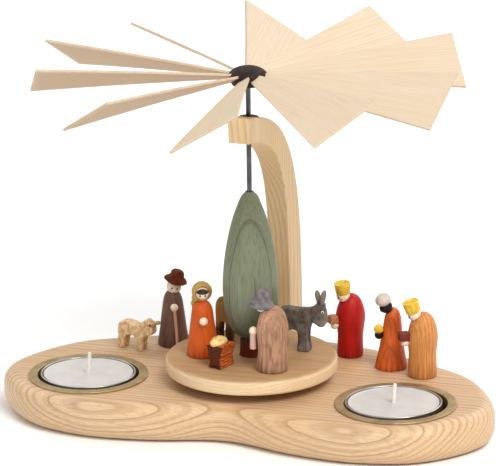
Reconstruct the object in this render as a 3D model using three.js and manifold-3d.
// A small wooden christmas pyramid: a bean-shaped ash board with two tealights, a sawn arm that guides
// a steel spindle, and a ten-paddle rotor that turns a disc with a tree and nativity figures.
// Millimetres, +Z up. The origin is on the spindle's axis, at the underside of the board.
// +X runs along the line of the tealights and +Y towards the foot of the arm.
import * as THREE from 'three';
import { mergeVertices } from 'three/addons/utils/BufferGeometryUtils.js';
import Module from 'manifold-3d';

const wasm = await Module();
wasm.setup();

// Clearances
const glueGap = 0.3;
const restGap = 0.3;
const runningGap = 0.35;

// Board
const boardThickness = 16;
const boardTopRounding = 5;
const boardFootRounding = 4;
const boardFrontMiddle = 38;
const boardFrontLobe = 47;
const boardLobeX = 58;
const boardShoulderInset = 19;
const boardShoulderY = 38;
const boardHalfLength = 103;
const boardEndY = 10;
const boardBackCornerInset = 15.6;
const boardBackCornerY = 25.2;
const boardBackFlankX = 66;
const boardBackFlankY = 39.6;
const boardBackRiseX = 34;
const boardBackRiseY = 53;
const boardBackMiddle = 57.5;

// Tealights and the metal cups that hold them
const tealightEndInset = 38.5;
const tealightY = -15;
const tealightRadius = 19.25;
const tealightHeight = 14.2;
const tealightWall = 0.4;
const waxDrop = 0.7;
const wickRadius = 0.7;
const leftWickHeight = 9;
const rightWickHeight = 8;
const insertFlangeRadius = 24.2;
const insertOpeningRadius = 20.5;
const insertWall = 0.6;
const insertFlangeThickness = 0.45;
const insertDepth = 13.8;
const rightTealightShift = -0.9;

// Spindle, its lower bearing and its upper guide
const spindleRadius = 1;
const spindlePointLength = 2.2;
const pivotCupRadius = 3.4;
const pivotCupLength = 6;
const pivotFlangeRadius = 4.8;
const pivotFlangeThickness = 0.8;
const pivotHollowRadius = 2.1;
const pivotHollowDepth = 4.6;
const bushRadius = 2.4;
const bushLength = 8;
const bushFlangeRadius = 4.2;
const bushFlangeThickness = 1.2;
const bushSeatRise = 6.3;

// Arm
const armThickness = 8.8;
const armEdgeRounding = 0.5;
const armNoseReach = 12.3;
const armNoseUnderside = 116.8;
const armNoseDepth = 10.6;
const armLegInnerY = 37.4;
const armLegDepth = 16.2;
const armKneeHeight = 45;
const armFootInnerY = 38.8;
const armFootDepth = 15.2;
const armInnerNosePull = 44;
const armInnerLegPull = 43.8;
const armOuterNosePull = 42;
const armOuterLegPull = 59;
const armNoseSlope = 0.16;
const screwRadius = 1.9;
const screwHeadRadius = 3.8;
const screwHeadDepth = 2.4;
const screwLength = 34;

// Turntable
const turntableRadius = 34.5;
const turntableThickness = 6;
const turntableClearance = 3.9;
const turntableTopRounding = 1.8;
const turntableFootRounding = 1.4;

// Tree
const trunkRadius = 4.85;
const trunkHeight = 7.2;
const crownHeight = 62;
const crownRadius = 11.15;
const crownTipRadius = 1.9;

// Rotor
const rotorRise = 18;
const spindleTopRise = 1.9;
const hubRadius = 7.8;
const hubDome = 4.1;
const hubSkirt = 3.3;
const hubFootRadius = 6.3;
const paddleCount = 10;
const paddleFirstAngle = 26.4;
const paddlePitch = 30.6;
const paddleReach = 84.5;
const paddleRoot = 5.6;
const paddleRootWidth = 4;
const paddleTipWidth = 30.2;
const paddleThickness = 1;
const slotGap = 0.25;
// The paddles are set by hand, so each is a little off: turn, pitch and lean in degrees
const paddleHandSet = [
  [0.5, 0, 1.5],
  [1.5, 0, 2],
  [2, 3, 1],
  [-1, -2, -2],
  [0, 0, 0.5],
  [-0.5, -1.5, 1.5],
  [-1, 0, 0],
  [-1.5, 0, -0.5],
  [-0.5, -2, 0.5],
  [0.5, 2.5, -0.5],
];

// Facets round a full turn
const turntableSides = 48;
const fineSides = 32;
const mediumSides = 20;
const smallSides = 14;
const ballSides = 12;
const tinySides = 10;
const crownRings = 15;
const robeRings = 9;

// Places that follow from the sizes above
const tealightX = boardHalfLength - tealightEndInset;
const bushSeatHeight = armNoseUnderside + bushSeatRise;
const rotorHeight = bushSeatHeight + rotorRise;
const spindleTop = rotorHeight + spindleTopRise;
const turntableTop = boardThickness + turntableClearance + turntableThickness;
const crownFoot = turntableTop + trunkHeight;
const crownTop = crownFoot + crownHeight;

// Figures: place on their floor, the way they face in degrees, and their own sizes
const shepherd = {
  x: -44.3, y: 31.3, facing: 295,
  footRadius: 6.3, waistRadius: 5.4, chestRadius: 4.5, shoulderRadius: 3.7, robeHeight: 23.8, lean: 0.2,
  headRadius: 3.1, headForward: 0.7, headSide: 0.5, headHeight: 24.8, headTilt: 8, headRoll: 14,
  handRadius: 1.7, handHeight: 17.2,
  brimRadius: 4.6, hatRadius: 2.9, hatHeight: 4.5, hatBase: 3.2,
  staffRadius: 0.65,
};
const mother = {
  x: -18.6, y: -5.9, facing: 294,
  footRadius: 6.3, waistRadius: 5.6, chestRadius: 4.7, shoulderRadius: 4.0, robeHeight: 23.2, lean: 0.3,
  headRadius: 3, headForward: 0.6, headHeight: 25.9, headTilt: 12, headRoll: 2,
  handRadius: 1.8, handHeight: 15.6,
  scarfRadius: 4.2,
};
const father = {
  x: 13.9, y: -15.7, facing: 190,
  footRadius: 6.15, waistRadius: 5.8, chestRadius: 6.3, shoulderRadius: 5, robeHeight: 26.6, lean: -0.4,
  headRadius: 2.9, headForward: 3.9, headHeight: 26.5, headTilt: 14, headRoll: -2,
  handRadius: 1.85, handHeight: 15.6,
  brimRadius: 4.8, hatRadius: 3.3, hatHeight: 6.2, hatBase: 0.9,
  staffRadius: 1.35, staffLength: 6,
};
const redKing = {
  x: 29.8, y: 37.8, facing: 222,
  footRadius: 5.2, waistRadius: 5.2, chestRadius: 6, shoulderRadius: 4.7, robeHeight: 26.3, lean: -0.3,
  headRadius: 2.8, headForward: 3, headHeight: 25.7, headTilt: 4, headRoll: 2,
  handRadius: 1.8, handHeight: 13.6,
  crownRadius: 2.95, crownFlare: 0.15, crownHeight: 4.6, crownBase: 0.8,
};
const orangeKing = {
  x: 50, y: 27.9, facing: 215,
  footRadius: 6.4, waistRadius: 5, chestRadius: 3.9, shoulderRadius: 3.2, robeHeight: 25.2, lean: -1,
  headRadius: 2.7, headForward: 2.1, headHeight: 25.6, headTilt: 23, headRoll: 2,
  handRadius: 1.9, handHeight: 14,
  turbanRadius: 3.15, turbanHeight: 2.8, turbanBase: 3.1,
};
const tanKing = {
  x: 65, y: 21.4, facing: 212,
  footRadius: 5.7, waistRadius: 5.6, chestRadius: 6, shoulderRadius: 4.8, robeHeight: 26.7, lean: -0.3,
  headRadius: 2.8, headForward: 3.3, headHeight: 26, headTilt: 15, headRoll: -2,
  handRadius: 1.8, handHeight: 14.4,
  crownRadius: 3, crownFlare: 0.15, crownHeight: 4.7, crownBase: 0.8,
};
// Shares of a robe's height at which its waist, chest and shoulder are measured
const waistShare = 0.35;
const chestShare = 0.66;
const shoulderShare = 0.86;

// What the kings bring
const giftBoxLength = 4.2;
const giftBoxWidth = 3.8;
const giftBoxHeight = 3.4;
const giftVesselRadius = 2;
const giftVesselHeight = 4.2;

// Crib
const crib = {
  x: -7, y: -17.2, facing: 73,
  length: 9.6, footWidth: 5.8, waistWidth: 4.4, rimWidth: 7.8, height: 9.4,
  bundleLength: 9.4, bundleWidth: 5.6, bundleHeight: 4.4, bundleAlong: -0.5, bundleAcross: 0.7,
};

// Animals, sawn from a board and rounded
const donkey = {
  x: 14.6, y: 10.7, facing: 0, height: 25.9, thickness: 5, rounding: 0.6, legSlot: 1.4, bellyShare: 0.35,
};
const ox = {
  x: -15, y: 18.7, facing: 80, height: 17.8, thickness: 7.2, rounding: 0.7, legSlot: 2.4, bellyShare: 0.45,
  earForwardShare: 0.53, earHeightShare: 0.865, earLongShare: 0.05, earHalfShare: 0.258, earThickShare: 0.045,
};
const sheep = {
  x: -59.2, y: 22, facing: -14, height: 13.4, thickness: 5.4, rounding: 0.5, legSlot: 1.5, bellyShare: 0.4,
  earForwardShare: 0.642, earHeightShare: 0.85, earLongShare: 0.082, earHalfShare: 0.29, earThickShare: 0.045,
};
// Thickness of the blocks that trim feet level with their floor
const floorBlock = 4;

const ash = { color: 0xe3c49a, roughness: 0.6, metalness: 0 };
const maple = { color: 0xd2bc8e, roughness: 0.6, metalness: 0 };
const veneer = { color: 0xefd9b4, roughness: 0.65, metalness: 0 };
const steel = { color: 0x8c8c90, roughness: 0.3, metalness: 1 };
const brass = { color: 0x9a8450, roughness: 0.4, metalness: 1 };
const aluminium = { color: 0xc9ccd0, roughness: 0.35, metalness: 1 };
const wax = { color: 0xeeece8, roughness: 0.5, metalness: 0 };
const skin = { color: 0xf0dcc0, roughness: 0.7, metalness: 0 };
const gold = { color: 0xe0b020, roughness: 0.6, metalness: 0 };

// A stained wood finish of the given colour.
function stain(color) {
  return { color, roughness: 0.7, metalness: 0 };
}

// Degrees to radians.
function rad(degrees) {
  return degrees * Math.PI / 180;
}

// Volume inside a closed indexed geometry; negative where its faces point inwards.
function signedVolume(geometry) {
  const position = geometry.attributes.position;
  const index = geometry.index;
  const [a, b, c] = [new THREE.Vector3(), new THREE.Vector3(), new THREE.Vector3()];
  let volume = 0;
  for (let i = 0; i < index.count; i += 3) {
    a.fromBufferAttribute(position, index.getX(i));
    b.fromBufferAttribute(position, index.getX(i + 1));
    c.fromBufferAttribute(position, index.getX(i + 2));
    volume += a.dot(b.cross(c)) / 6;
  }
  return volume;
}

// One closed body with shared vertices, no collapsed triangles and its faces pointing out.
function closed(geometry) {
  const bare = geometry.clone();
  bare.deleteAttribute('normal');
  bare.deleteAttribute('uv');
  const merged = mergeVertices(bare, 1e-4);
  const index = [];
  for (let i = 0; i < merged.index.count; i += 3) {
    const [a, b, c] = [merged.index.getX(i), merged.index.getX(i + 1), merged.index.getX(i + 2)];
    if (a !== b && b !== c && c !== a) {
      index.push(a, b, c);
    }
  }
  merged.setIndex(index);
  if (signedVolume(merged) < 0) {
    merged.setIndex(index.reverse());
  }
  return merged;
}

// A geometry as a solid that can be joined and cut.
function solid(geometry) {
  const body = closed(geometry);
  return new wasm.Manifold(new wasm.Mesh({
    numProp: 3,
    vertProperties: new Float32Array(body.attributes.position.array),
    triVerts: new Uint32Array(body.index.array),
  }));
}

// A solid back as a geometry.
function geometryOf(body) {
  const mesh = body.getMesh();
  const geometry = new THREE.BufferGeometry();
  geometry.setAttribute('position', new THREE.BufferAttribute(new Float32Array(mesh.vertProperties), 3));
  geometry.setIndex(new THREE.BufferAttribute(new Uint32Array(mesh.triVerts), 1));
  return geometry;
}

// The first geometry with the others cut out of it.
function cut(geometry, ...tools) {
  let body = solid(geometry);
  for (const tool of tools) {
    body = body.subtract(solid(tool));
  }
  return geometryOf(body);
}

// Two geometries as one solid.
function join(first, second) {
  return geometryOf(solid(first).add(solid(second)));
}

// A turned piece about Z from [radius, height] pairs.
function turned(profile, sides) {
  const points = profile.map(([radius, height]) => new THREE.Vector2(radius, height));
  return closed(new THREE.LatheGeometry(points, sides).rotateX(Math.PI / 2));
}

// A plain round rod or hole between two heights.
function rod(radius, low, high, sides) {
  return turned([[0, low], [radius, low], [radius, high], [0, high]], sides);
}

// A ball with its centre at the given place.
function ball(radius, x, y, z, sides) {
  return closed(new THREE.SphereGeometry(radius, sides, Math.round(sides * 0.6)).translate(x, y, z));
}

// A closed skin over rings of points that climb, each ring running the same way round.
function loft(rings) {
  const sides = rings[0].length;
  const positions = rings.flat().flatMap((point) => [point.x, point.y, point.z]);
  const index = [];
  for (let level = 0; level < rings.length - 1; level += 1) {
    for (let side = 0; side < sides; side += 1) {
      const next = (side + 1) % sides;
      const [a, b] = [level * sides + side, level * sides + next];
      index.push(a, b, b + sides, a, b + sides, a + sides);
    }
  }
  for (const [level, turn] of [[0, -1], [rings.length - 1, 1]]) {
    const middle = new THREE.Vector3();
    rings[level].forEach((point) => middle.addScaledVector(point, 1 / sides));
    const centre = positions.length / 3;
    positions.push(middle.x, middle.y, middle.z);
    for (let side = 0; side < sides; side += 1) {
      const [a, b] = [level * sides + side, level * sides + (side + 1) % sides];
      index.push(...(turn > 0 ? [centre, a, b] : [centre, b, a]));
    }
  }
  const geometry = new THREE.BufferGeometry();
  geometry.setAttribute('position', new THREE.Float32BufferAttribute(positions, 3));
  geometry.setIndex(index);
  return closed(geometry);
}

// A sawn piece that stands in the X-Z plane, centred on Y, from its outline.
function sawn(outline, thickness, rounding) {
  const shape = new THREE.Shape(outline);
  const geometry = new THREE.ExtrudeGeometry(shape, {
    depth: thickness - 2 * rounding,
    bevelEnabled: true,
    bevelSize: rounding,
    bevelOffset: -rounding,
    bevelThickness: rounding,
    bevelSegments: 1,
    curveSegments: 1,
  });
  geometry.translate(0, 0, -thickness / 2 + rounding);
  return closed(geometry.rotateX(Math.PI / 2));
}

// A smooth closed outline through a few points.
function smoothOutline(points, count) {
  const knots = points.map(([x, y]) => new THREE.Vector3(x, y, 0));
  const curve = new THREE.CatmullRomCurve3(knots, true, 'centripetal');
  return curve.getSpacedPoints(count).slice(0, count).map((point) => new THREE.Vector2(point.x, point.y));
}

// A named mesh with its own material.
function piece(name, geometry, finish) {
  const mesh = new THREE.Mesh(geometry, new THREE.MeshStandardMaterial(finish));
  mesh.name = name;
  return mesh;
}

// The board's outline, symmetric about X = 0, counter-clockwise from above.
function boardOutline() {
  const right = [
    [boardLobeX / 2, -(boardFrontMiddle + 0.78 * (boardFrontLobe - boardFrontMiddle))],
    [boardLobeX, -boardFrontLobe],
    [boardHalfLength - boardShoulderInset, -boardShoulderY],
    [boardHalfLength - 0.5, -boardEndY],
    [boardHalfLength - boardBackCornerInset, boardBackCornerY],
    [boardBackFlankX, boardBackFlankY],
    [boardBackRiseX, boardBackRiseY],
  ];
  const left = right.map(([x, y]) => [-x, y]).reverse();
  return smoothOutline([[0, -boardFrontMiddle], ...right, [0, boardBackMiddle], ...left], 64);
}

// An outline moved inwards by a small inset and lifted to a height.
function insetRing(outline, inset, height) {
  return outline.map((point, i) => {
    const before = outline[(i + outline.length - 1) % outline.length];
    const after = outline[(i + 1) % outline.length];
    const along = new THREE.Vector2().subVectors(after, before).normalize();
    return new THREE.Vector3(point.x - along.y * inset, point.y + along.x * inset, height);
  });
}

// The blank of the board: its outline with rounded top and bottom edges.
function boardBlank() {
  const outline = boardOutline();
  const rings = [];
  const steps = 3;
  for (let i = 0; i <= steps; i += 1) {
    const angle = rad(90 * i / steps);
    const inset = boardFootRounding * (1 - Math.sin(angle));
    rings.push(insetRing(outline, inset, boardFootRounding * (1 - Math.cos(angle))));
  }
  for (let i = 0; i <= steps; i += 1) {
    const angle = rad(90 * i / steps);
    const inset = boardTopRounding * (1 - Math.cos(angle));
    rings.push(insetRing(outline, inset, boardThickness - boardTopRounding * (1 - Math.sin(angle))));
  }
  return loft(rings);
}

// Height of the floor of a tealight's recess in the board.
function recessFloor() {
  return boardThickness - insertDepth - restGap;
}

// The board with its two recesses, the bearing hole and the arm's countersunk screw hole.
function baseBoard() {
  const tools = [-1, 1].map((side) => {
    const recess = rod(insertOpeningRadius + insertWall + glueGap, recessFloor(), boardThickness + 1, fineSides);
    return recess.translate(side * tealightX, tealightY, 0);
  });
  const bearingFloor = boardThickness - pivotCupLength - glueGap;
  tools.push(rod(pivotCupRadius + glueGap, bearingFloor, boardThickness + 1, smallSides));
  tools.push(armScrewForm(glueGap));
  return cut(boardBlank(), ...tools);
}

// A metal cup with a wide flange that hangs in the board and holds a tealight.
function tealightInsert() {
  const top = boardThickness + restGap + insertFlangeThickness;
  const floor = boardThickness - insertDepth;
  const outer = insertOpeningRadius + insertWall;
  return turned([
    [0, floor], [outer, floor], [outer, boardThickness + restGap],
    [insertFlangeRadius, boardThickness + restGap], [insertFlangeRadius, top],
    [insertOpeningRadius, top], [insertOpeningRadius, floor + insertWall], [0, floor + insertWall],
  ], fineSides);
}

// Height at which a tealight stands in its insert.
function tealightFloor() {
  return boardThickness - insertDepth + insertWall + restGap;
}

// The thin aluminium cup of a tealight with its rolled rim.
function tealightCup() {
  const rim = 0.8;
  return turned([
    [0, 0], [tealightRadius - 1, 0], [tealightRadius, 1], [tealightRadius, tealightHeight],
    [tealightRadius - rim, tealightHeight], [tealightRadius - tealightWall, tealightHeight - rim],
    [tealightRadius - tealightWall, 1], [tealightRadius - 1, tealightWall], [0, tealightWall],
  ], fineSides);
}

// The wax disc with its wick standing in it.
function tealightCandle(wickHeight) {
  const radius = tealightRadius - tealightWall - glueGap;
  const top = tealightHeight - waxDrop;
  const floor = tealightWall + restGap;
  return turned([
    [0, floor], [radius - 1, floor], [radius, floor + 1], [radius, top],
    [wickRadius, top - 0.3], [wickRadius, top + wickHeight], [0, top + wickHeight],
  ], fineSides);
}

// Points of the arm's side view: inner edge up from the foot, the nose, outer edge back down.
function armOutline() {
  const slope = new THREE.Vector2(1, -armNoseSlope).normalize();
  const across = new THREE.Vector2(armNoseSlope, 1).normalize();
  const noseLow = new THREE.Vector2(-armNoseReach, armNoseUnderside);
  const noseHigh = noseLow.clone().addScaledVector(across, armNoseDepth).sub(new THREE.Vector2(2.2, 0));
  const kneeIn = new THREE.Vector2(armLegInnerY, armKneeHeight);
  const kneeOut = new THREE.Vector2(armLegInnerY + armLegDepth, armKneeHeight);
  const inner = new THREE.CubicBezierCurve(
    kneeIn,
    kneeIn.clone().add(new THREE.Vector2(-0.05 * armInnerLegPull, armInnerLegPull)),
    noseLow.clone().addScaledVector(slope, armInnerNosePull),
    noseLow,
  );
  const outer = new THREE.CubicBezierCurve(
    noseHigh,
    noseHigh.clone().addScaledVector(slope, armOuterNosePull),
    kneeOut.clone().add(new THREE.Vector2(-0.02 * armOuterLegPull, armOuterLegPull)),
    kneeOut,
  );
  const foot = boardThickness + restGap;
  return [
    new THREE.Vector2(armFootInnerY, foot),
    ...inner.getSpacedPoints(14),
    ...outer.getSpacedPoints(16),
    new THREE.Vector2(armFootInnerY + armFootDepth, foot),
  ];
}

// The countersunk wood screw that holds the arm from below, grown by a clearance.
function armScrewForm(grow) {
  const sink = restGap + glueGap - grow;
  const low = grow > 0 ? -1 : sink;
  const tip = sink + screwLength;
  return turned([
    [0, low], [screwHeadRadius + grow, low], [screwHeadRadius + grow, sink + grow],
    [screwRadius + grow, sink + screwHeadDepth + grow], [screwRadius + grow, tip - 2 * screwRadius],
    [0.4 + grow, tip + grow], [0, tip + 2 * grow],
  ], smallSides).translate(0, armFootInnerY + armFootDepth / 2, 0);
}

// The sawn arm with the guide's bore and seat in its nose and the screw's hole in its foot.
function curvedArm() {
  const blank = sawn(armOutline(), armThickness, armEdgeRounding).rotateZ(Math.PI / 2);
  const tools = [
    rod(bushRadius + glueGap, bushSeatHeight - bushLength - glueGap, bushSeatHeight + 4, smallSides),
    rod(bushFlangeRadius + glueGap, bushSeatHeight, bushSeatHeight + 4, mediumSides),
    rod(spindleRadius + runningGap + glueGap, armNoseUnderside - 8, bushSeatHeight, smallSides),
  ];
  tools.push(armScrewForm(glueGap));
  return cut(blank, ...tools);
}

// The turned guide in the arm's nose, in which the spindle runs.
function guideBush() {
  const bore = spindleRadius + runningGap;
  const seat = bushSeatHeight + restGap;
  const top = seat + bushFlangeThickness;
  const low = bushSeatHeight - bushLength;
  return turned([
    [bore, low], [bushRadius, low], [bushRadius, seat], [bushFlangeRadius, seat],
    [bushFlangeRadius, top - 0.4], [bushFlangeRadius - 0.4, top], [bore + 0.4, top], [bore, top - 0.4],
    [bore, low],
  ], smallSides);
}

// The cup in the board in which the spindle's point turns.
function pivotCup() {
  const seat = boardThickness + restGap;
  const top = seat + pivotFlangeThickness;
  const low = boardThickness - pivotCupLength;
  return turned([
    [0, low], [pivotCupRadius, low], [pivotCupRadius, seat], [pivotFlangeRadius, seat],
    [pivotFlangeRadius, top], [pivotHollowRadius, top], [0, top - pivotHollowDepth],
  ], smallSides);
}

// The steel spindle with its point.
function spindle() {
  const low = boardThickness + restGap + pivotFlangeThickness - pivotHollowDepth + runningGap;
  return turned([
    [0, low], [spindleRadius, low + spindlePointLength], [spindleRadius, spindleTop - 0.4],
    [spindleRadius - 0.4, spindleTop], [0, spindleTop],
  ], tinySides);
}

// The turntable disc with rounded edges and a hole for the spindle.
function turntable() {
  const low = turntableTop - turntableThickness;
  const profile = [[spindleRadius + glueGap, low]];
  for (const angle of [0, 45, 90]) {
    const out = turntableRadius - turntableFootRounding * (1 - Math.sin(rad(angle)));
    profile.push([out, low + turntableFootRounding * (1 - Math.cos(rad(angle)))]);
  }
  for (const angle of [0, 45, 90]) {
    const out = turntableRadius - turntableTopRounding * (1 - Math.cos(rad(angle)));
    profile.push([out, turntableTop - turntableTopRounding * (1 - Math.sin(rad(angle)))]);
  }
  profile.push([spindleRadius + glueGap, turntableTop], profile[0]);
  return turned(profile, turntableSides);
}

// The turned trunk, flared a little at its foot.
function treeTrunk() {
  const low = turntableTop + restGap;
  const high = crownFoot + 2;
  const bore = spindleRadius + glueGap;
  return cut(turned([
    [bore, low], [trunkRadius, low], [trunkRadius * 0.96, low + 1.2], [trunkRadius * 0.93, high],
    [bore, high], [bore, low],
  ], mediumSides), crownBlank(glueGap));
}

// The crown's form before boring, grown by a clearance: a long egg with its widest part low down.
function crownBlank(grow) {
  const shares = [
    [0.05, 0.02], [0.35, 0.012], [0.6, 0.035], [0.82, 0.1], [0.95, 0.19], [1, 0.32], [0.975, 0.45],
    [0.89, 0.58], [0.76, 0.7], [0.6, 0.81], [0.42, 0.9], [0.29, 0.955],
  ];
  const knots = shares.map(([out, up]) => new THREE.Vector3(out * crownRadius, crownFoot + up * crownHeight, 0));
  knots[0].set(0, crownFoot, 0);
  knots.push(new THREE.Vector3(crownTipRadius * 0.95, crownTop - 0.6, 0), new THREE.Vector3(0, crownTop, 0));
  const curve = new THREE.CatmullRomCurve3(knots, false, 'centripetal');
  const profile = curve.getSpacedPoints(crownRings).map((point, i) => {
    const along = curve.getTangentAt(i / crownRings);
    const out = i % crownRings === 0 ? 0 : point.x + along.y * grow;
    return [out, point.y - along.x * grow];
  });
  return turned(profile, mediumSides);
}

// The crown with its bore for the spindle.
function treeCrown() {
  return cut(crownBlank(0), rod(spindleRadius + glueGap, crownFoot - 5, crownTop + 5, tinySides));
}

// One paddle in its own frame: X out along the paddle, Y across it, centred on Z.
function paddleBlank(grow) {
  const half = paddleRootWidth / 2 + grow;
  const outline = [
    [paddleRoot - grow, -half], [paddleReach, -paddleTipWidth / 2 - grow],
    [paddleReach, paddleTipWidth / 2 + grow], [paddleRoot - grow, half],
  ].map(([x, y]) => new THREE.Vector2(x, y));
  const thickness = paddleThickness + 2 * grow;
  const geometry = new THREE.ExtrudeGeometry(new THREE.Shape(outline), { depth: thickness, bevelEnabled: false });
  return closed(geometry.translate(0, 0, -thickness / 2));
}

// Turns an object into the place of the numbered paddle.
function setPaddle(object, number) {
  const [turn, pitch, lean] = paddleHandSet[number];
  const angle = paddleFirstAngle + 360 * number / paddleCount + turn;
  object.rotation.set(rad(paddlePitch + pitch), -rad(lean), rad(angle), 'ZYX');
  object.position.set(0, 0, rotorHeight);
  object.updateMatrix();
  return object;
}

// The turned hub with a slanted slot for each paddle and a blind bore for the spindle.
function rotorHub() {
  const dome = [];
  for (let i = 0; i <= 5; i += 1) {
    const angle = rad(90 * i / 5);
    dome.push([hubRadius * Math.cos(angle), rotorHeight + hubDome * Math.sin(angle)]);
  }
  const low = rotorHeight - hubSkirt;
  const blank = turned([[0, low], [hubFootRadius, low], [hubRadius * 0.93, rotorHeight - 1.4], ...dome], fineSides);
  const tools = [rod(spindleRadius + glueGap, low - 1, spindleTop + glueGap, tinySides)];
  for (let number = 0; number < paddleCount; number += 1) {
    const place = setPaddle(new THREE.Object3D(), number);
    tools.push(paddleBlank(slotGap).applyMatrix4(place.matrix));
  }
  return cut(blank, ...tools);
}

// Radius and lean of a robe at a height, from the sizes of its figure.
function robeCurve(figure) {
  const knots = [
    [figure.footRadius, 0],
    [figure.waistRadius, waistShare * figure.robeHeight],
    [figure.chestRadius, chestShare * figure.robeHeight],
    [figure.shoulderRadius, shoulderShare * figure.robeHeight],
    [figure.shoulderRadius * 0.62, 0.96 * figure.robeHeight],
    [0.4, figure.robeHeight],
  ].map(([radius, height]) => new THREE.Vector3(radius, height, 0));
  return new THREE.CatmullRomCurve3(knots, false, 'centripetal');
}

// A robe's radius at one height.
function robeRadius(figure, height) {
  const points = robeCurve(figure).getPoints(60);
  const above = points.findIndex((point) => point.y >= height);
  return points[Math.max(above, 0)].x;
}

// A carved robe, standing at its own origin and facing +X, with seats for the head and the hand.
function robe(figure) {
  const rings = robeCurve(figure).getSpacedPoints(robeRings).map((point) => {
    const forward = figure.lean * point.y / figure.robeHeight;
    const ring = [];
    for (let side = 0; side < smallSides; side += 1) {
      const angle = rad(360 * side / smallSides);
      ring.push(new THREE.Vector3(forward + point.x * Math.cos(angle), point.x * Math.sin(angle), point.y));
    }
    return ring;
  });
  const [x, , z] = handPlace(figure);
  return cut(
    loft(rings),
    ball(figure.headRadius + glueGap, ...headPlace(figure), ballSides),
    ball(figure.handRadius + glueGap, x, 0, z, tinySides),
  );
}

// Where a figure's head sits.
function headPlace(figure) {
  return [figure.headForward, figure.headSide ?? 0, figure.headHeight];
}

// Where a figure's hand sits, just proud of the robe's front.
function handPlace(figure) {
  const lean = figure.lean * figure.handHeight / figure.robeHeight;
  const out = robeRadius(figure, figure.handHeight) + figure.handRadius - 0.5;
  return [lean + out, 0, figure.handHeight];
}

// The head as a turned ball.
function head(figure) {
  return ball(figure.headRadius, ...headPlace(figure), ballSides);
}

// The hand as a small ball.
function hand(figure) {
  return ball(figure.handRadius, ...handPlace(figure), tinySides);
}

// A piece turned about the head's axis, tilted forward with it and hollowed to sit on the head.
function headwear(figure, profile, sides) {
  const blank = turned(profile, sides).rotateX(-rad(figure.headRoll)).rotateY(rad(figure.headTilt));
  blank.translate(...headPlace(figure));
  return cut(blank, ball(figure.headRadius + glueGap, ...headPlace(figure), ballSides));
}

// A felt hat: domed crown over a drooping brim.
function hat(figure) {
  const base = figure.hatBase;
  const top = base + figure.hatHeight;
  return headwear(figure, [
    [0, base - 0.4], [figure.hatRadius, base - 0.4], [figure.brimRadius, base - 1],
    [figure.brimRadius, base - 0.3], [figure.hatRadius * 1.15, base + 0.9],
    [figure.hatRadius, base + figure.hatHeight * 0.4], [figure.hatRadius * 0.86, base + figure.hatHeight * 0.72],
    [figure.hatRadius * 0.5, base + figure.hatHeight * 0.94], [0, top],
  ], smallSides);
}

// A turned crown, wider at its rim, with a shallow dish on top.
function crown(figure) {
  const base = figure.crownBase;
  const top = base + figure.crownHeight;
  const rim = figure.crownRadius + figure.crownFlare;
  const foot = figure.crownRadius - figure.crownFlare;
  return headwear(figure, [
    [0, base], [foot - 0.3, base], [foot, base + 0.3], [rim, top - 0.3], [rim - 0.3, top],
    [rim - 0.8, top], [rim - 1.1, top - 0.4], [0, top - 0.4],
  ], smallSides);
}

// A turban: a flattened ball over the head.
function turban(figure) {
  const profile = [];
  for (let i = 0; i <= 8; i += 1) {
    const angle = rad(-90 + 180 * i / 8);
    const up = figure.turbanBase + figure.turbanHeight * Math.sin(angle);
    profile.push([i % 8 ? figure.turbanRadius * Math.cos(angle) : 0, up]);
  }
  return headwear(figure, profile, smallSides);
}

// A headscarf: a hood over the head, open at the face and closed on the robe below.
function headscarf(figure) {
  const hood = ball(figure.scarfRadius, figure.headForward - 0.7, 0, figure.headHeight + 0.4, smallSides);
  const face = new THREE.CylinderGeometry(figure.headRadius * 0.92, figure.headRadius * 0.92, 8, smallSides);
  face.rotateZ(Math.PI / 2);
  face.translate(4, 0, 0);
  face.rotateY(rad(figure.headTilt));
  face.translate(figure.headForward, 0, figure.headHeight - 0.9);
  const headTool = ball(figure.headRadius + glueGap, ...headPlace(figure), ballSides);
  return cut(hood, headTool, face, robeClear(figure));
}

// The shepherd's staff, from under the hand to the floor.
function longStaff(figure) {
  const [x, , z] = handPlace(figure);
  const foot = figure.footRadius + figure.staffRadius + 0.4;
  const curve = new THREE.LineCurve3(new THREE.Vector3(foot, 1, 0), new THREE.Vector3(x + 0.3, 0, z));
  const section = new THREE.Shape().absarc(0, 0, figure.staffRadius, 0, 2 * Math.PI);
  const rodShape = new THREE.ExtrudeGeometry(section, { extrudePath: curve, steps: 1, curveSegments: 5 });
  const wide = figure.footRadius;
  const floor = new THREE.BoxGeometry(wide, wide, floorBlock).translate(foot, 0, -floorBlock / 2);
  return cut(closed(rodShape), ball(figure.handRadius + glueGap, x, 0, z, tinySides), floor);
}

// The short stick held under a hand.
function shortStaff(figure) {
  const [x, , z] = handPlace(figure);
  const low = z - figure.handRadius * 0.8 - figure.staffLength;
  const stick = turned([
    [0, low], [figure.staffRadius - 0.2, low], [figure.staffRadius, low + 0.2], [figure.staffRadius, z], [0, z],
  ], tinySides).translate(x + 0.2, 0, 0);
  return cut(stick, ball(figure.handRadius + glueGap, x, 0, z, tinySides));
}

// A small chest that rests on a hand.
function giftBox(figure) {
  const [x, , z] = handPlace(figure);
  const box = new THREE.BoxGeometry(giftBoxLength, giftBoxWidth, giftBoxHeight);
  box.translate(x + 0.6, 0, z + figure.handRadius * 0.5 + giftBoxHeight / 2);
  return cut(box, ball(figure.handRadius + glueGap, x, 0, z, tinySides), robeClear(figure));
}

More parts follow.
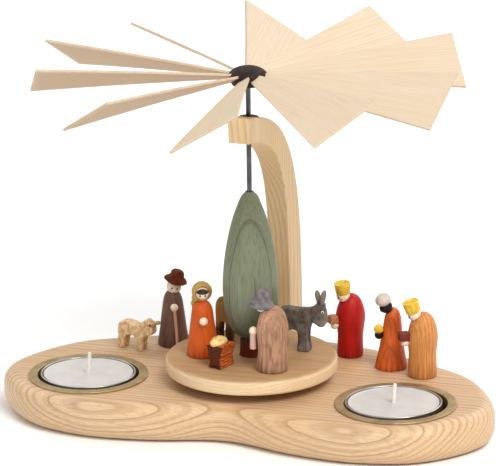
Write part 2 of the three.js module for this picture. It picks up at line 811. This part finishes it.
// A small domed vessel that rests on a hand.
function giftVessel(figure) {
  const [x, , z] = handPlace(figure);
  const low = z + figure.handRadius * 0.3;
  const vessel = turned([
    [0, low], [giftVesselRadius * 0.8, low], [giftVesselRadius, low + giftVesselHeight * 0.3],
    [giftVesselRadius * 0.85, low + giftVesselHeight * 0.65], [giftVesselRadius * 0.45, low + giftVesselHeight * 0.93],
    [0, low + giftVesselHeight],
  ], tinySides).translate(x, 0, 0);
  return cut(vessel, ball(figure.handRadius + glueGap, x, 0, z, tinySides), robeClear(figure));
}

// The robe's form grown by the glue gap, to cut what leans against it.
function robeClear(figure) {
  const grown = { ...figure };
  for (const size of ['footRadius', 'waistRadius', 'chestRadius', 'shoulderRadius']) {
    grown[size] += glueGap;
  }
  const rings = robeCurve(grown).getSpacedPoints(robeRings).map((point) => {
    const forward = figure.lean * point.y / figure.robeHeight;
    return Array.from({ length: smallSides }, (_, side) => {
      const angle = rad(360 * side / smallSides);
      return new THREE.Vector3(forward + point.x * Math.cos(angle), point.x * Math.sin(angle), point.y);
    });
  });
  return loft(rings);
}

// The crib: a sawn trough on splayed feet with board lines down its sides.
function cribBox() {
  const [foot, waist, rim] = [crib.footWidth / 2, crib.waistWidth / 2, crib.rimWidth / 2];
  const waistHeight = crib.height * 0.42;
  const side = [
    [foot, 0], [waist, waistHeight], [waist + 0.9, waistHeight + 1.6], [waist + 0.6, waistHeight + 1.9],
    [rim, crib.height],
  ];
  const outline = [
    [-foot + 1.5, 0], [0, 1.6], [foot - 1.5, 0], ...side, ...side.map(([x, y]) => [-x, y]).reverse(),
  ].map(([x, y]) => new THREE.Vector2(x, y));
  const block = new THREE.ExtrudeGeometry(new THREE.Shape(outline), { depth: crib.length, bevelEnabled: false });
  block.translate(0, 0, -crib.length / 2).rotateX(Math.PI / 2).rotateZ(Math.PI / 2);
  return cut(block, cribBundleForm(glueGap));
}

// The form of the bundle in the crib, grown by a clearance.
function cribBundleForm(grow) {
  const form = new THREE.SphereGeometry(1, 16, 10).rotateX(Math.PI / 2);
  form.scale(crib.bundleLength / 2 + grow, crib.bundleWidth / 2 + grow, crib.bundleHeight / 2 + grow);
  return closed(form.translate(crib.bundleAlong, crib.bundleAcross, crib.height + 0.4));
}

// An animal sawn from its side view, with a slot that parts its left legs from its right ones.
// The side view is drawn to any scale, and its top comes to the animal's height.
function animal(outline, sizes, count) {
  const scale = sizes.height / Math.max(...outline.map(([, up]) => up));
  const side = outline.map(([along, up]) => [along * scale, up * scale]);
  const blank = sawn(smoothOutline(side, count), sizes.thickness, sizes.rounding);
  const reach = 3 * sizes.height;
  const belly = sizes.bellyShare * sizes.height;
  const slot = new THREE.BoxGeometry(reach, sizes.legSlot, 2 * belly);
  const floor = new THREE.BoxGeometry(reach, reach, floorBlock).translate(0, 0, -floorBlock / 2);
  return cut(blank, slot, floor);
}

// A pair of ears as one long drop across the head, sized by the animal's height.
function earPair(sizes) {
  const { height } = sizes;
  const pair = new THREE.SphereGeometry(1, tinySides, 8);
  pair.scale(sizes.earLongShare * height, sizes.earHalfShare * height, sizes.earThickShare * height);
  return pair.translate(sizes.earForwardShare * height, 0, sizes.earHeightShare * height);
}

// The donkey, head hanging, ears up, facing +X.
function donkeyForm() {
  return animal([
    [-6.4, 0], [-3.4, 0], [-3.1, 4.6], [-2.4, 7.8], [0, 8.6], [1.6, 8.1], [2.1, 4.5], [1.9, 0], [6.7, 0],
    [6.3, 5], [6.8, 9.6], [8.3, 12.5], [10, 11], [11.5, 10.4], [13, 10.8], [13.8, 12.8], [13.6, 16],
    [12.9, 19.2], [12.6, 21.6], [13.5, 24.6], [13, 25.9], [11.9, 25.2], [10.8, 22.4], [9.7, 24.2],
    [9.2, 23.4], [9.4, 20.4], [8.3, 18.4], [5.6, 17.6], [1, 17.4], [-3, 17.6], [-5.7, 16.9], [-7, 14], [-6.8, 7],
  ], donkey, 62);
}

// The ox, heavy and low-headed, facing +X.
function oxForm() {
  return join(animal([
    [-6.4, 0], [-3.2, 0], [-3, 4], [-2.2, 7.2], [0, 7.7], [2.2, 7.2], [3, 4], [3, 0], [6.4, 0], [6.4, 4],
    [7.2, 7.4], [9, 9.4], [10.6, 8], [12.4, 8.8], [12.2, 13], [10.4, 16.4], [8.6, 16.8], [6, 17.8], [0, 16.8],
    [-4.6, 17.4], [-6.7, 14.8], [-6.9, 8],
  ], ox, 48), earPair(ox));
}

// The sheep, facing +X.
function sheepForm() {
  return join(animal([
    [-5, 0], [-2.9, 0], [-2.2, 3.4], [-1.2, 5.4], [1.2, 5.8], [3, 5.2], [3.8, 2.8], [4, 0], [6.1, 0],
    [6.3, 3.4], [7.2, 5.6], [8.4, 6.4], [9.6, 6.6], [11, 7.6], [11.6, 9], [10.6, 11.6], [9, 13.4], [7.4, 13.2],
    [5.4, 11.2], [3, 10.7], [-1, 11.4], [-4, 11], [-5.2, 9.4], [-5.3, 5],
  ], sheep, 52), earPair(sheep));
}

// A group that stands on a floor at a figure's place and faces its way.
function stand(figure, floor, ...meshes) {
  const group = new THREE.Group();
  group.position.set(figure.x, figure.y, floor + restGap);
  group.rotation.z = rad(figure.facing);
  group.add(...meshes);
  return group;
}

// A king with his headwear, hand and gift.
function king(name, figure, floor, robeColor, headFinish, wear, gift, giftColor) {
  return stand(
    figure, floor,
    piece(`${name}_robe`, robe(figure), stain(robeColor)),
    piece(`${name}_head`, head(figure), headFinish),
    wear,
    piece(`${name}_hand`, hand(figure), headFinish),
    piece(`${name}_gift`, gift, stain(giftColor)),
  );
}

// The pieces that stay still: board, arm and their fittings.
function baseGroup() {
  const group = new THREE.Group();
  group.add(
    piece('base_board', baseBoard(), ash),
    piece('curved_arm', curvedArm(), ash),
    piece('arm_screw', armScrewForm(0), steel),
    piece('upper_guide_bush', guideBush(), stain(0x5a2c1c)),
    piece('pivot_cup', pivotCup(), brass),
  );
  for (const [name, side] of [['left', -1], ['right', 1]]) {
    const insert = piece(`${name}_tealight_insert`, tealightInsert(), brass);
    insert.position.set(side * tealightX, tealightY, 0);
    group.add(insert);
  }
  return group;
}

// The figures that stand on the board round the turntable.
function boardFigures() {
  const group = new THREE.Group();
  const floor = boardThickness;
  group.add(
    stand(
      shepherd, floor,
      piece('shepherd_robe', robe(shepherd), stain(0x5a4040)),
      piece('shepherd_head', head(shepherd), skin),
      piece('shepherd_hat', hat(shepherd), stain(0x4a1f14)),
      piece('shepherd_hand', hand(shepherd), skin),
      piece('shepherd_staff', longStaff(shepherd), stain(0xc09080)),
    ),
    stand(sheep, floor, piece('sheep', sheepForm(), stain(0xd8bc90))),
    king('king_red', redKing, floor, 0xb0201c, skin, piece('king_red_crown', crown(redKing), gold),
      giftBox(redKing), 0xa86050),
    king('king_orange', orangeKing, floor, 0xc4602c, stain(0x2a2a28),
      piece('king_orange_turban', turban(orangeKing), stain(0xe6d6cc)), giftVessel(orangeKing), 0xd8a030),
    king('king_tan', tanKing, floor, 0xc98a4c, skin, piece('king_tan_crown', crown(tanKing), gold),
      giftBox(tanKing), 0x7a2a24),
  );
  return group;
}

// The figures that ride on the turntable.
function turntableFigures() {
  const group = new THREE.Group();
  const floor = turntableTop;
  group.add(
    stand(
      mother, floor,
      piece('mother_robe', robe(mother), stain(0xe0602c)),
      piece('mother_head', head(mother), skin),
      piece('mother_headscarf', headscarf(mother), stain(0xd2a850)),
      piece('mother_hand', hand(mother), skin),
    ),
    stand(
      father, floor,
      piece('father_robe', robe(father), stain(0xb08a70)),
      piece('father_head', head(father), skin),
      piece('father_hat', hat(father), stain(0x8a8890)),
      piece('father_hand', hand(father), skin),
      piece('father_staff', shortStaff(father), stain(0xe0b8a8)),
    ),
    stand(
      crib, floor,
      piece('crib_box', cribBox(), stain(0x7a3a20)),
      piece('crib_bundle', cribBundleForm(0), stain(0xe8d486)),
    ),
    stand(donkey, floor, piece('donkey', donkeyForm(), stain(0x5a5856))),
    stand(ox, floor, piece('ox', oxForm(), stain(0x6a4a2c))),
  );
  return group;
}

// Everything that turns about the spindle.
function rotorGroup() {
  const group = new THREE.Group();
  group.add(
    piece('spindle', spindle(), steel),
    piece('rotor_hub', rotorHub(), stain(0x3a2424)),
    piece('turntable', turntable(), maple),
    piece('tree_trunk', treeTrunk(), stain(0x4a1a0c)),
    piece('tree_crown', treeCrown(), stain(0x7d8c70)),
    turntableFigures(),
  );
  for (let number = 0; number < paddleCount; number += 1) {
    const name = `paddle_${String(number + 1).padStart(2, '0')}`;
    group.add(setPaddle(piece(name, paddleBlank(0), veneer), number));
  }
  return group;
}

// A tealight standing in its insert.
function tealightGroup(name, x, wickHeight) {
  const group = new THREE.Group();
  group.position.set(x, tealightY, tealightFloor());
  group.add(
    piece(`${name}_tealight_cup`, tealightCup(), aluminium),
    piece(`${name}_tealight_candle`, tealightCandle(wickHeight), wax),
  );
  return group;
}

const group = new THREE.Group();
group.add(
  baseGroup(),
  boardFigures(),
  rotorGroup(),
  tealightGroup('left', -tealightX, leftWickHeight),
  tealightGroup('right', tealightX + rightTealightShift, rightWickHeight),
);

export default group;
